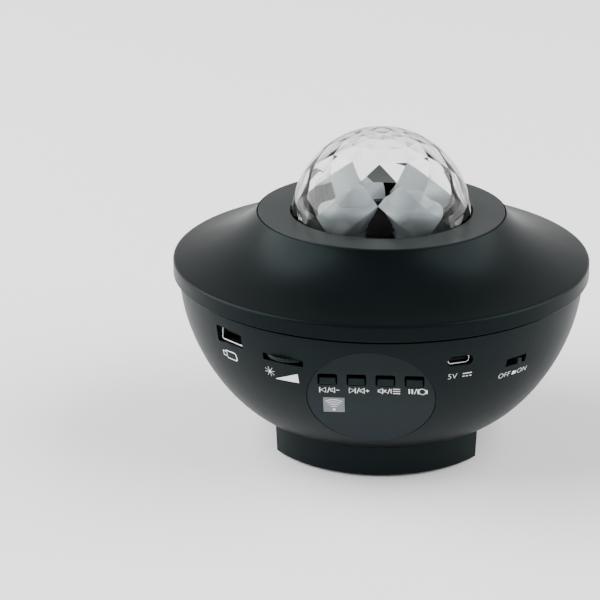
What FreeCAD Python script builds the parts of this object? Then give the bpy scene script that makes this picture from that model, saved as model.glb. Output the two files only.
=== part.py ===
import FreeCAD, Part
import math
import os

# Star night light projector: a round body of two black shells, a clear faceted dome over
# four lamps, and a ring of sockets and controls with a tilted key panel at the front.
# Millimetres. The origin is on the table under the middle of the foot, Z is up and the
# controls face -Y. Azimuths are counted from the front, positive to the viewer's right.

V = FreeCAD.Vector

# Clearances
seat_gap = 0.3
run_gap = 0.06
seam_gap = 0.5

# Outer body
wall = 2.2
rim_r = 83.2
rim_top_z = 77.2
rim_bottom_z = 70.6
rim_round = 1.2
ring_r = 49.2
ring_open_r = 36.3
ring_top_z = 95.5
ring_thick = 2.0
flange_r = 41.7
flange_thick = 1.6
neck_r = 34.5
bowl_rim_r = rim_r - wall - seat_gap
bowl_top_z = rim_bottom_z + 3.0
bowl_low_r = 47.5
bowl_low_z = 12.5
groove_h = 1.6
groove_deep = 1.0

# Foot, with its flat left and right sides
foot_low_r = 47.3
foot_high_r = 47.9
foot_low_x = 39.8
foot_high_x = 40.3
pad_h = 1.0
pad_r = 5.0
pad_x = 28.0
pad_y = 26.0
cover_thick = 2.0
ledge = 1.2
cover_top_z = pad_h + cover_thick

# Faceted dome
dome_r = 35.8
dome_in_r = 34.7
dome_z = 92.7
dome_sides = 12
dome_rows = [-1.8, 11.7, 24.2, 39.3, 52.9, 65.0, 75.5, 85.0]

# Control panel: a round flat facet tilted to face down and outward
panel_tilt = 25.0
panel_y = 13.3 - rim_r
panel_z = 43.1
panel_r = 24.4
panel_thick = 1.6
window_w = 7.5
window_z0 = 48.8
window_z1 = 54.4
key_pitch = 11.0
key_face_y = panel_y - 3.0
key_collar_y = panel_y + 2.7
key_top_gap = 1.6
key_side_gap = 0.4
key_travel = 0.5
ir_u = -14.3
ir_v = -4.9
ir_w = 8.5

# Boards
board_z = 56.7
board_thick = 1.6
board_r = rim_r - 9.2
board_top = board_z + board_thick
key_board_y = panel_y + 11.9
key_board_thick = 1.2
tact_h = 3.0
tact_z = (window_z0 + window_z1) / 2

# Sockets and controls round the front
usb_az = -44.0
wheel_az = -25.2
typec_az = 25.0
switch_az = 44.2
usb_w = 13.2
usb_h = 5.7
usb_len = 14.0
typec_w = 8.94
typec_h = 3.26
typec_len = 7.3
socket_face_r = rim_r - 5.6
cut_r0 = board_r
cut_r1 = rim_r + 1.0
wheel_r = 9.8
wheel_thick = 2.2
wheel_at_r = rim_r - 11.5
wheel_z0 = board_z + seat_gap
wheel_notches = 48
notch_r = 0.32
stub_r = 2.0
pot_low_z = board_z - 3.4
slot_w = 17.5
slot_h = 3.0
switch_z = 54.6
switch_face_r = rim_r - 7.7
switch_back_r = switch_face_r - 6.0
knob_tip_r = rim_r - 3.9
knob_rest = 1.0
knob_half = 1.0

# Lamps
deck_z = 84.0
deck_thick = 2.0
deck_r = 46.0
deck_hole_r = 20.0
deck_top = deck_z + deck_thick
led_board_r = 27.8
led_board_thick = 1.2
led_top = deck_top + led_board_thick
lamp_at = 13.1
barrel_r = 12.3
barrel_foot_r = 9.6
barrel_h = 15.5
barrel_round = 3.5
lens_r = 8.6
lens_rise = 5.0

# Gearing of the turning ripple dome
module = 0.8
ring_teeth = 76
pinion_teeth = 10
ring_tip_r = 30.0
gear_h = 4.0
ripple_r = 33.0
ripple_thick = 1.0
pinion_y = module * (ring_teeth - pinion_teeth) / 2
backlash = 0.05
shaft_r = 1.5

# Screws
column_x = 27.0
column_y = 32.0
column_r = 4.0
column_top_z = 78.0
deck_screw_r = 42.0
base_screw_x = 34.6
base_screw_y = 41.6

nodes = {}


def block(x0, x1, y0, y1, z0, z1):
    return Part.makeBox(x1 - x0, y1 - y0, z1 - z0, V(x0, y0, z0))


def rod(r, x, y, z0, z1):
    return Part.makeCylinder(r, z1 - z0, V(x, y, z0), V(0, 0, 1))


def rod_y(r, x, z, y0, y1):
    return Part.makeCylinder(r, y1 - y0, V(x, y0, z), V(0, 1, 0))


def ring(r_out, r_in, z0, z1):
    return rod(r_out, 0, 0, z0, z1).cut(rod(r_in, 0, 0, z0 - 1, z1 + 1))


def bar(w, h, corner, z, r0, r1):
    # A bar with rounded long edges that lies along the radius at the front.
    body = block(-w / 2, w / 2, -r1, -r0, z - h / 2, z + h / 2)
    edges = [e for e in body.Edges if abs(e.tangentAt(e.FirstParameter).y) > 0.9]
    return body.makeFillet(corner, edges)


def turned(body, azimuth):
    copy = body.copy()
    copy.rotate(V(0, 0, 0), V(0, 0, 1), azimuth)
    return copy


def on_panel(body):
    # From the panel's own frame (right, up the slope, outward) to the object's frame.
    copy = body.copy()
    copy.Placement = FreeCAD.Placement(
        V(0, panel_y, panel_z), FreeCAD.Rotation(V(1, 0, 0), 90 + panel_tilt)
    ).multiply(copy.Placement)
    return copy


def lines(points):
    pairs = zip(points, points[1:])
    return [Part.makeLine(V(a[0], 0, a[1]), V(b[0], 0, b[1])) for a, b in pairs]


def bezier(points):
    curve = Part.BezierCurve()
    curve.setPoles([V(r, 0, z) for r, z in points])
    return curve.toShape()


def inset(points, depth, side):
    # Control points moved square to their own curve, so that the wall stays even.
    moved = []
    last = len(points) - 1
    for i, (r, z) in enumerate(points):
        before = points[max(i - 1, 0)]
        after = points[min(i + 1, last)]
        run = after[0] - before[0]
        rise = after[1] - before[1]
        length = math.hypot(run, rise)
        moved.append((r - side * depth * rise / length, z + side * depth * run / length))
    return moved


def lathe(edges):
    face = Part.Face(Part.Wire(Part.__sortEdges__(edges)))
    return face.revolve(V(0, 0, 0), V(0, 0, 1), 360)


def four(make):
    places = [(1, 1), (1, -1), (-1, 1), (-1, -1)]
    return Part.makeCompound([make(sx, sy) for sx, sy in places])


def screw(x, y, z_seat, up, head_r, head_h, shank_r, length):
    # A pan-head screw whose head sits on z_seat; up is the way the shank points.
    head_z0 = z_seat - head_h if up > 0 else z_seat
    shank_z0 = z_seat if up > 0 else z_seat - length
    body = rod(head_r, x, y, head_z0, head_z0 + head_h)
    body = body.fuse(rod(shank_r, x, y, shank_z0, shank_z0 + length))
    far_z = head_z0 if up > 0 else head_z0 + head_h
    cross = block(x - head_r * 0.6, x + head_r * 0.6, y - 0.25, y + 0.25, far_z - 0.4, far_z + 0.4)
    cross = cross.fuse(block(x - 0.25, x + 0.25, y - head_r * 0.6, y + head_r * 0.6,
                             far_z - 0.4, far_z + 0.4))
    return body.cut(cross)


def involute_gear(teeth, tip_r, root_r, extra, z0, height, x, y):
    # Teeth of the usual 20 degree form; extra widens each tooth on both sides.
    pitch_r = module * teeth / 2
    base_r = pitch_r * math.cos(math.radians(20))
    pitch_inv = math.tan(math.radians(20)) - math.radians(20)
    half = math.pi / (2 * teeth) + extra / pitch_r
    steps = 5
    points = []
    start_r = max(base_r, root_r)
    for t in range(teeth):
        mid = math.pi / 2 + 2 * math.pi * t / teeth
        flank = []
        for s in range(steps + 1):
            r = start_r + (tip_r - start_r) * s / steps
            turn = math.acos(min(1.0, base_r / r))
            flank.append((r, half + pitch_inv - (math.tan(turn) - turn)))
        if root_r < start_r:
            flank.insert(0, (root_r, flank[0][1]))
        sides = [(r, mid - a) for r, a in flank] + [(r, mid + a) for r, a in reversed(flank)]
        points += [V(x + r * math.cos(a), y + r * math.sin(a), z0) for r, a in sides]
    points.append(points[0])
    return Part.Face(Part.makePolygon(points)).extrude(V(0, 0, height))


def foot_form(inward, z0, z1):
    # The round foot with flat sides, both slightly wider at the top, drawn in by inward.
    cone = Part.makeCone(foot_low_r - inward, foot_high_r - inward, z1 - z0, V(0, 0, z0))
    low = foot_low_x - inward
    high = foot_high_x - inward
    outline = [V(-low, -60, z0), V(low, -60, z0), V(high, -60, z1), V(-high, -60, z1), V(-low, -60, z0)]
    slab = Part.Face(Part.makePolygon(outline)).extrude(V(0, 120, 0))
    return cone.common(slab)


# Top shell: flare, rim band, rebate for the bezel ring, seat for the dome flange
seat_z = ring_top_z - ring_thick
flange_z = seat_z - flange_thick - 0.2
flare_out = [
    (ring_r + seam_gap, ring_top_z - 0.2), (ring_r + 5.7, ring_top_z - 8.4),
    (rim_r - 17.8, rim_top_z + 4.0), (rim_r - rim_round, rim_top_z)]
flare_in = [
    (ring_r - 1.6, seat_z - wall), (ring_r + 3.2, ring_top_z - 10.3),
    (rim_r - 19.8, rim_top_z + 2.0), (bowl_rim_r - wall + seat_gap, rim_top_z - 1.6)]
round_mid = (rim_r - rim_round * 0.29, rim_top_z - rim_round * 0.33)
rim_edges = [
    bezier(flare_out),
    Part.Arc(V(flare_out[3][0], 0, flare_out[3][1]), V(round_mid[0], 0, round_mid[1]),
             V(rim_r, 0, rim_top_z - rim_round * 1.1)).toShape(),
    bezier(flare_in),
]
rim_edges += lines([
    (rim_r, rim_top_z - rim_round * 1.1), (rim_r, rim_bottom_z + 0.3), (rim_r - 0.3, rim_bottom_z),
    (rim_r - wall, rim_bottom_z), (rim_r - wall, bowl_top_z), (flare_in[3][0], bowl_top_z), flare_in[3]])
rim_edges += lines([
    flare_in[0], (ring_r - 5.2, flange_z - wall), (neck_r, flange_z - wall), (neck_r, flange_z),
    (flange_r + seat_gap, flange_z), (flange_r + seat_gap, seat_z),
    (flare_out[0][0], seat_z), flare_out[0]])
top_shell = lathe(rim_edges)
for sx, sy in [(1, 1), (1, -1), (-1, 1), (-1, -1)]:
    top_shell = top_shell.fuse(rod(column_r, sx * column_x, sy * column_y, column_top_z, flange_z - 1.0))
for i in range(4):
    a = math.radians(90 * i)
    bx = deck_screw_r * math.cos(a)
    by = deck_screw_r * math.sin(a)
    top_shell = top_shell.fuse(rod(3.0, bx, by, deck_top, flange_z - 1.0))
for sx, sy in [(1, 1), (1, -1), (-1, 1), (-1, -1)]:
    top_shell = top_shell.cut(rod(1.6, sx * column_x, sy * column_y, column_top_z - 1, column_top_z + 8))
for i in range(4):
    a = math.radians(90 * i)
    bx = deck_screw_r * math.cos(a)
    by = deck_screw_r * math.sin(a)
    top_shell = top_shell.cut(rod(1.2, bx, by, deck_top - 1, deck_top + 3.4))
nodes["top_shell"] = top_shell

# Bezel ring, let into the top shell with a thin shadow gap round it
bezel = ring(ring_r, ring_open_r, seat_z, ring_top_z)
bezel = bezel.makeChamfer(0.3, [e for e in bezel.Edges if abs(e.BoundBox.ZMin - ring_top_z) < 0.01
                                and e.BoundBox.ZLength < 0.01])
nodes["bezel_ring"] = bezel


# Dome cover: smooth outside, bands of triangles between rows of points on a sphere inside
def dome_point(row, k):
    lift = math.radians(dome_rows[row])
    step = 360.0 / dome_sides
    around = math.radians(step * k + (step / 2 if row % 2 else 0.0) - 90.0)
    flat = dome_in_r * math.cos(lift)
    return V(flat * math.cos(around), flat * math.sin(around), dome_z + dome_in_r * math.sin(lift))


def facet(*corners):
    return Part.Face(Part.makePolygon(list(corners) + [corners[0]]))


faces = []
for row in range(len(dome_rows) - 1):
    for k in range(dome_sides):
        low = dome_point(row, k)
        low_next = dome_point(row, k + 1)
        high = dome_point(row + 1, k)
        high_next = dome_point(row + 1, k + 1)
        if row % 2:
            faces.append(facet(low, low_next, high_next))
            faces.append(facet(high, low, high_next))
        else:
            faces.append(facet(low, low_next, high))
            faces.append(facet(high, low_next, high_next))
faces.append(facet(*[dome_point(0, k) for k in range(dome_sides)]))
faces.append(facet(*[dome_point(len(dome_rows) - 1, k) for k in range(dome_sides)]))
gem = Part.makeSolid(Part.makeShell(faces))
if gem.Volume < 0:
    gem.reverse()
ball = Part.makeSphere(dome_r, V(0, 0, dome_z)).cut(rod(dome_r + 1, 0, 0, dome_z - dome_r - 1, flange_z))
cover = ball.fuse(rod(flange_r, 0, 0, flange_z, flange_z + flange_thick))
nodes["dome_cover"] = cover.cut(gem)

# Bowl shell
bowl_out = [
    (bowl_low_r, bowl_low_z), (bowl_low_r + 15.2, bowl_low_z + 6.5),
    (bowl_rim_r + 0.2, rim_bottom_z - 25.0), (bowl_rim_r, rim_bottom_z)]
bowl_in = inset(bowl_out, wall, 1)
outer = lathe([bezier(bowl_out)] + lines([
    bowl_out[3], (bowl_rim_r, bowl_top_z), (0, bowl_top_z), (0, bowl_low_z), bowl_out[0]]))
inner = lathe([bezier(bowl_in)] + lines([
    bowl_in[3], (bowl_in[3][0], bowl_top_z + 1), (0, bowl_top_z + 1), (0, bowl_in[0][1]), bowl_in[0]]))
foot = foot_form(0, pad_h, bowl_low_z + 0.4)
envelope = outer.fuse(foot)
bowl = outer.cut(inner).fuse(foot)
bowl = bowl.cut(foot_form(wall + ledge, cover_top_z, bowl_low_z + 6))
bowl = bowl.cut(foot_form(wall, pad_h - 1, cover_top_z))
bowl = bowl.cut(ring(rim_r, bowl_rim_r - groove_deep, rim_bottom_z - groove_h, rim_bottom_z))

# Panel facet in the bowl, with a floor behind the plate
back = panel_thick + wall
plug = on_panel(rod(panel_r + seat_gap + wall, 0, 0, -back, 12)).common(outer)
bowl = bowl.fuse(plug)
bowl = bowl.cut(on_panel(rod(panel_r + seat_gap, 0, 0, -panel_thick, 20)))

# Columns, posts and bosses inside the bowl
inside = []
for sx, sy in [(1, 1), (1, -1), (-1, 1), (-1, -1)]:
    inside.append(rod(column_r, sx * column_x, sy * column_y, cover_top_z + 1.2, column_top_z))
post_x = rim_r - 33.2
posts = [(post_x, -25.0), (-post_x, -25.0), (post_x, 12.0), (-post_x, 12.0)]
for x, y in posts:
    inside.append(rod(3.0, x, y, bowl_low_z, board_z).common(outer))
base_places = [(base_screw_x, 0), (-base_screw_x, 0), (0, base_screw_y), (0, -base_screw_y)]
for x, y in base_places:
    inside.append(rod(3.2, x, y, cover_top_z, bowl_low_z))
key_post_x = 22.3
key_post_z = 41.0
for side in (-1, 1):
    post = rod_y(2.6, side * key_post_x, key_post_z, key_collar_y, key_board_y)
    inside.append(post.cut(on_panel(rod(panel_r + 8, 0, 0, -panel_thick - 0.5, 20))))
for body in inside:
    bowl = bowl.fuse(body)

# Openings in the bowl and the holes for screws
cuts = []
for sx, sy in [(1, 1), (1, -1), (-1, 1), (-1, -1)]:
    cuts.append(rod(2.9, sx * column_x, sy * column_y, cover_top_z, column_top_z - 8))
    cuts.append(rod(1.7, sx * column_x, sy * column_y, cover_top_z, column_top_z + 1))
for x, y in posts:
    cuts.append(rod(1.3, x, y, board_z - 9, board_z + 1))
for x, y in base_places:
    cuts.append(rod(1.3, x, y, cover_top_z - 1, cover_top_z + 7.5))
for side in (-1, 1):
    cuts.append(rod_y(0.95, side * key_post_x, key_post_z, key_board_y - 6.5, key_board_y + 1))
window_x = [-1.5 * key_pitch, -0.5 * key_pitch, 0.5 * key_pitch, 1.5 * key_pitch]
windows = []
for x in window_x:
    hole = bar(window_w, window_z1 - window_z0, 0.9, (window_z0 + window_z1) / 2,
               -panel_y - 10, -panel_y + 15)
    hole.translate(V(x, 0, 0))
    windows.append(hole)
cuts += windows
cuts.append(on_panel(block(ir_u - 3, ir_u + 3, ir_v - 3, ir_v + 3, -8, 1)))
usb_z = board_top + 0.05 + usb_h / 2
typec_z = board_top + 0.02 + typec_h / 2
cuts.append(turned(bar(usb_w + 1.3, usb_h + 1.1, 0.5, usb_z, cut_r0, cut_r1), usb_az))
cuts.append(turned(bar(typec_w + 1.5, typec_h + 1.0, 2.1, typec_z, cut_r0, cut_r1), typec_az))
wheel_mid_z = wheel_z0 + wheel_thick / 2
cuts.append(turned(bar(slot_w, slot_h, 0.4, wheel_mid_z, cut_r0, cut_r1), wheel_az))
cuts.append(turned(bar(10.4, 3.4, 0.3, switch_z, cut_r0, cut_r1), switch_az))
for body in cuts:
    bowl = bowl.cut(body)
nodes["bowl_shell"] = bowl

# Base cover with speaker slots and a ring round the speaker
speaker_r = 25.0
base = foot_form(wall + seat_gap, pad_h, cover_top_z)
base = base.fuse(ring(speaker_r + seat_gap + 1.4, speaker_r + seat_gap, cover_top_z, cover_top_z + 3))
for i in range(-4, 5):
    x = i * 4.4
    reach = math.sqrt(21.0 ** 2 - x ** 2)
    base = base.cut(block(x - 1.1, x + 1.1, -reach, reach, pad_h - 1, cover_top_z + 0.5))
for x, y in base_places:
    base = base.cut(rod(1.3, x, y, pad_h - 1, cover_top_z + 1))
    base = base.cut(rod(2.5, x, y, pad_h - 1, pad_h + 1.2))
nodes["base_cover"] = base

nodes["rubber_feet"] = four(lambda sx, sy: rod(pad_r, sx * pad_x, sy * pad_y, 0, pad_h))
nodes["base_screws"] = Part.makeCompound(
    [screw(x, y, pad_h + 1.2, 1, 2.2, 1.1, 1.1, 7) for x, y in base_places])
nodes["shell_screws"] = four(lambda sx, sy: screw(
    sx * column_x, sy * column_y, column_top_z - 8, 1, 2.6, 1.8, 1.4, 14))

# Speaker, facing down behind the slots
low = cover_top_z
frame = ring(speaker_r, 21.5, low, low + 1.0)
frame = frame.fuse(lathe(lines([
    (23.0, low + 0.9), (23.8, low + 0.9), (14.8, low + 9.0), (14.8, low + 10.0), (6.0, low + 10.0),
    (6.0, low + 9.0), (14.0, low + 9.0), (23.0, low + 0.9)])))
for i in range(4):
    gap = block(-5.0, 5.0, 12.0, 26.0, low + 2.0, low + 8.2)
    gap.rotate(V(0, 0, 0), V(0, 0, 1), 90 * i + 45)
    frame = frame.cut(gap)
nodes["speaker_frame"] = frame
magnet = rod(14.2, 0, 0, low + 10.0, low + 17.0)
nodes["speaker_magnet"] = magnet.fuse(rod(8.0, 0, 0, low + 17.0, low + 18.5))
nodes["speaker_cone"] = lathe(lines([
    (0, low + 3.4), (6.0, low + 3.0), (7.0, low + 4.2), (20.0, low + 1.4), (21.5, low + 1.0),
    (22.0, low + 1.0), (22.0, low + 1.4), (20.4, low + 1.9), (7.0, low + 5.0), (5.6, low + 5.2),
    (5.6, low + 8.6), (5.2, low + 8.6), (5.2, low + 3.6), (0, low + 3.8), (0, low + 3.4)]))

# Panel plate, keys and what is behind them
plate = on_panel(rod(panel_r, 0, 0, -panel_thick, 0))
for body in windows:
    plate = plate.cut(body)
half_ir = ir_w / 2
nodes["panel_plate"] = plate.cut(
    on_panel(block(ir_u - half_ir, ir_u + half_ir, ir_v - half_ir, ir_v + half_ir, -4, 1)))
small = half_ir - 0.15
nodes["ir_window"] = on_panel(
    block(ir_u - small, ir_u + small, ir_v - small, ir_v + small, -panel_thick, -0.2))
key_names = ["previous_key", "next_key", "mute_key", "play_key"]
key_half = window_w / 2 - key_side_gap
stem_end = key_board_y - tact_h - 0.6 - 0.1 - key_travel
for name, x in zip(key_names, window_x):
    face = block(x - key_half, x + key_half, key_face_y, key_collar_y + 0.1,
                 window_z0 + 0.25, window_z1 - key_top_gap)
    fronts = [e for e in face.Edges if abs(e.BoundBox.YMax - key_face_y) < 0.01]
    face = face.makeFillet(0.35, fronts)
    collar = block(x - 4.4, x + 4.4, key_collar_y, key_collar_y + 1.0, window_z0 - 1.2, window_z1 + 1.2)
    stem = block(x - 2.0, x + 2.0, key_collar_y + 0.9, stem_end, tact_z - 2.0, tact_z + 2.0)
    nodes[name] = face.fuse(collar).fuse(stem)
key_board = block(-panel_r - 0.8, panel_r + 0.8, key_board_y, key_board_y + key_board_thick, 33.5, 55.6)
for side in (-1, 1):
    key_board = key_board.cut(rod_y(1.1, side * key_post_x, key_post_z, key_board_y - 1, key_board_y + 3))
nodes["key_board"] = key_board.cut(block(-30, -20.6, -60, -50, pot_low_z - 0.5, 60))
tacts = []
for x in window_x:
    body = block(x - 3, x + 3, key_board_y - tact_h, key_board_y, tact_z - 3, tact_z + 3)
    tacts.append(body.fuse(rod_y(1.75, x, tact_z, key_board_y - tact_h - 0.6, key_board_y - tact_h + 0.5)))
nodes["tact_switches"] = Part.makeCompound(tacts)
key_screws = []
for side in (-1, 1):
    seat_y = key_board_y + key_board_thick
    body = rod_y(1.9, side * key_post_x, key_post_z, seat_y, seat_y + 1.3)
    key_screws.append(body.fuse(rod_y(0.8, side * key_post_x, key_post_z, seat_y - 6.5, seat_y + 0.5)))
nodes["key_board_screws"] = Part.makeCompound(key_screws)
ir_z = panel_z + ir_v * math.cos(math.radians(panel_tilt))
eye = block(ir_u - 2.8, ir_u + 2.8, key_board_y - 3.2, key_board_y, ir_z - 3.2, ir_z + 3.2)
nodes["ir_receiver"] = eye.fuse(Part.makeSphere(1.9, V(ir_u, key_board_y - 3.2, ir_z)))

# Main board
wheel_x = wheel_at_r * math.sin(math.radians(wheel_az))
wheel_y = -wheel_at_r * math.cos(math.radians(wheel_az))
board = rod(board_r, 0, 0, board_z, board_top).common(block(-80, 80, -80, 22, board_z - 1, board_top + 1))
board = board.cut(block(-panel_r - 2, panel_r + 2, -rim_r, key_board_y + 7, board_z - 1, board_top + 1))
board = board.cut(rod(wheel_r + 1.6, wheel_x, wheel_y, board_z - 1, board_top + 1))
for sx in (-1, 1):
    board = board.cut(rod(column_r + 0.5, sx * column_x, -column_y, board_z - 1, board_top + 1))
for x, y in posts:
    board = board.cut(rod(1.4, x, y, board_z - 1, board_top + 1))
nodes["main_board"] = board
nodes["main_board_screws"] = Part.makeCompound(
    [screw(x, y, board_top, -1, 2.2, 1.3, 1.1, 9) for x, y in posts])
nodes["radio_module"] = block(12, 27, -12, 2, board_top, board_top + 2.2)
nodes["control_chips"] = Part.makeCompound([
    block(-8, 2, -30, -20, board_top, board_top + 1.5), block(-34, -24, -8, 0, board_top, board_top + 1.5)])
nodes["capacitors"] = Part.makeCompound([rod(3.2, x, 12, board_top, board_top + 8) for x in (-18, -10, -2)])

# USB-A socket
shell_t = 0.35
box_out = bar(usb_w, usb_h, 0.6, usb_z, socket_face_r - usb_len, socket_face_r)
box_in = bar(usb_w - 2 * shell_t, usb_h - 2 * shell_t, 0.3, usb_z,
             socket_face_r - usb_len - 1, socket_face_r + 1)
nodes["usb_a_shell"] = turned(box_out.cut(box_in), usb_az)
back_r = socket_face_r - usb_len
heel = bar(usb_w - 2 * shell_t - 0.1, usb_h - 2 * shell_t - 0.1, 0.3, usb_z, back_r, back_r + 3)
tongue = block(-5.6, 5.6, -(socket_face_r - 1.2), -(back_r + 2), usb_z + 0.45, usb_z + 2.3)
nodes["usb_a_tongue"] = turned(heel.fuse(tongue), usb_az)

# USB-C socket
box_out = bar(typec_w, typec_h, 1.6, typec_z, socket_face_r - typec_len, socket_face_r)
box_in = bar(typec_w - 0.6, typec_h - 0.6, 1.3, typec_z, socket_face_r - typec_len - 1, socket_face_r + 1)
nodes["usb_c_shell"] = turned(box_out.cut(box_in), typec_az)
back_r = socket_face_r - typec_len
heel = bar(typec_w - 0.7, typec_h - 0.7, 1.25, typec_z, back_r, back_r + 1.8)
tongue = block(-3.35, 3.35, -(socket_face_r - 0.6), -(back_r + 1), typec_z - 0.35, typec_z + 0.35)
nodes["usb_c_tongue"] = turned(heel.fuse(tongue), typec_az)

# Power switch: body under the board, slider in its slot
body = block(-6, 6, -switch_face_r, -switch_back_r, 2 * switch_z - board_z, board_z)
lip_r = switch_face_r - 0.9
body = body.cut(block(-3.4, 3.4, -lip_r, -switch_back_r - 1.1, switch_z - 1.3, switch_z + 1.3))
body = body.cut(block(-2.3, 2.3, -rim_r, -lip_r + 0.5, switch_z - 1.2, switch_z + 1.2))
nodes["power_switch_body"] = turned(body, switch_az)
slider = block(knob_rest - 1.9, knob_rest + 1.9, 0.2 - lip_r, -switch_back_r - 1.5,
               switch_z - 1.1, switch_z + 1.1)
knob = block(knob_rest - knob_half, knob_rest + knob_half, -knob_tip_r, 0.6 - lip_r,
             switch_z - 1.0, switch_z + 1.0)
nodes["power_slider"] = turned(slider.fuse(knob), switch_az)

# Brightness wheel on the stub of its pot
wheel_top = wheel_z0 + wheel_thick
wheel = rod(wheel_r, 0, -wheel_at_r, wheel_z0, wheel_top)
wheel = wheel.cut(Part.makeCone(6.4, 7.2, 0.7, V(0, -wheel_at_r, wheel_top - 0.6)))
wheel = wheel.fuse(rod(3.6, 0, -wheel_at_r, wheel_z0, wheel_top + 0.4))
wheel = wheel.cut(rod(stub_r + run_gap, 0, -wheel_at_r, wheel_z0 - 1, wheel_top + 1))
teeth = []
for i in range(wheel_notches):
    a = 2 * math.pi * i / wheel_notches
    teeth.append(rod(notch_r, (wheel_r + 0.12) * math.cos(a), (wheel_r + 0.12) * math.sin(a) - wheel_at_r,
                     wheel_z0 - 1, wheel_top + 1))
nodes["dimmer_wheel"] = turned(wheel.cut(Part.makeCompound(teeth)), wheel_az)
pot = block(-5.5, 4.5, -wheel_at_r - 3.8, 14.7 - wheel_at_r, pot_low_z, board_z)
pot = pot.fuse(rod(stub_r, 0, -wheel_at_r, board_z - 1, wheel_top + 0.8))
nodes["dimmer_pot"] = turned(pot, wheel_az)

# Lamp deck with a guide ring for the turning dome
deck = ring(deck_r, deck_hole_r, deck_z, deck_top)
deck = deck.fuse(ring(ripple_r + run_gap + 1.2, ripple_r + run_gap, deck_top, deck_top + 2.6))
for sx, sy in [(1, 1), (1, -1), (-1, 1), (-1, -1)]:
    deck = deck.cut(rod(column_r + 0.5, sx * column_x, sy * column_y, deck_z - 1, deck_top + 1))
deck_places = []
for i in range(4):
    a = math.radians(90 * i)
    deck_places.append((deck_screw_r * math.cos(a), deck_screw_r * math.sin(a)))
for x, y in deck_places:
    deck = deck.cut(rod(1.3, x, y, deck_z - 1, deck_top + 1))
deck = deck.cut(rod(3.4, 0, pinion_y, deck_z - 1, deck_top + 1))
strap_x = 10.2
led_screw_x = 23.6
for side in (-1, 1):
    deck = deck.cut(rod(1.0, side * strap_x, pinion_y, deck_z - 1, deck_top - 0.4))
    deck = deck.cut(rod(1.0, side * led_screw_x, 0, deck_z + 0.2, deck_top + 1))
nodes["lamp_deck"] = deck
nodes["deck_screws"] = Part.makeCompound([screw(x, y, deck_z, 1, 2.3, 1.4, 1.1, 5) for x, y in deck_places])

# Heat sink under the lamps, cut flat beside the motor
sink = rod(24.0, 0, 0, 72.0, deck_z).fuse(rod(deck_hole_r - seat_gap, 0, 0, deck_z - 1, deck_top))
for i in range(-5, 6):
    x = i * 4.4
    sink = sink.cut(block(x - 1.5, x + 1.5, -30, 30, 71, deck_z - 2.2))
motor_front = pinion_y - 5
nodes["heat_sink"] = sink.common(block(-30, 30, -30, motor_front - 0.5, 70, 90))

led_board = rod(led_board_r, 0, 0, deck_top, led_top)
led_board = led_board.cut(rod(6.0, 0, pinion_y, deck_top - 1, led_top + 1))
for side in (-1, 1):
    led_board = led_board.cut(rod(1.1, side * led_screw_x, 0, deck_top - 1, led_top + 1))
nodes["led_board"] = led_board
nodes["led_board_screws"] = Part.makeCompound(
    [screw(side * led_screw_x, 0, led_top, -1, 1.9, 1.2, 0.85, 2.8) for side in (-1, 1)])
chip = 1.75
nodes["led_chips"] = four(lambda sx, sy: block(
    sx * lamp_at - chip, sx * lamp_at + chip, sy * lamp_at - chip, sy * lamp_at + chip,
    led_top, led_top + 0.9))


def barrel(sx, sy):
    x = sx * lamp_at
    y = sy * lamp_at
    flank = bezier([
        (barrel_foot_r, led_top), (barrel_foot_r + 0.6, led_top + 2.6),
        (barrel_r, led_top + 6.0), (barrel_r, led_top + 9.5)])
    top_z = led_top + barrel_h
    sides = lines([
        (barrel_r, led_top + 9.5), (barrel_r, top_z), (0, top_z), (0, led_top), (barrel_foot_r, led_top)])
    body = lathe([flank] + sides)
    top = [e for e in body.Edges if abs(e.BoundBox.ZMin - top_z) < 0.01 and e.BoundBox.XLength > barrel_r]
    body = body.makeFillet(barrel_round, top)
    body.translate(V(x, y, 0))
    body = body.cut(rod(lens_r + 0.1, x, y, led_top + barrel_h - 2.0, led_top + barrel_h + 1))
    return body.cut(Part.makeCone(3.4, lens_r - 1.2, barrel_h, V(x, y, led_top - 0.5)))


def condenser(sx, sy):
    x = sx * lamp_at
    y = sy * lamp_at
    seat = led_top + barrel_h - 2.0
    big = (lens_r ** 2 + lens_rise ** 2) / (2 * lens_rise)
    cap = Part.makeSphere(big, V(x, y, seat + 2.0 + lens_rise - big))
    cap = cap.common(rod(lens_r, x, y, seat + 2.0, seat + 20))
    return cap.fuse(rod(lens_r, x, y, seat, seat + 2.0))


nodes["lens_barrels"] = four(barrel)
nodes["condenser_lenses"] = four(condenser)

# Laser in the middle of the lamps
nodes["laser_module"] = rod(4.0, 0, 0, led_top, led_top + 12.0)
cap = rod(4.9, 0, 0, led_top + 9.0, led_top + 13.6).cut(rod(4.05, 0, 0, led_top + 8, led_top + 12.0))
nodes["laser_cap"] = cap.cut(rod(2.2, 0, 0, led_top + 11.0, led_top + 15))

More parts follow.
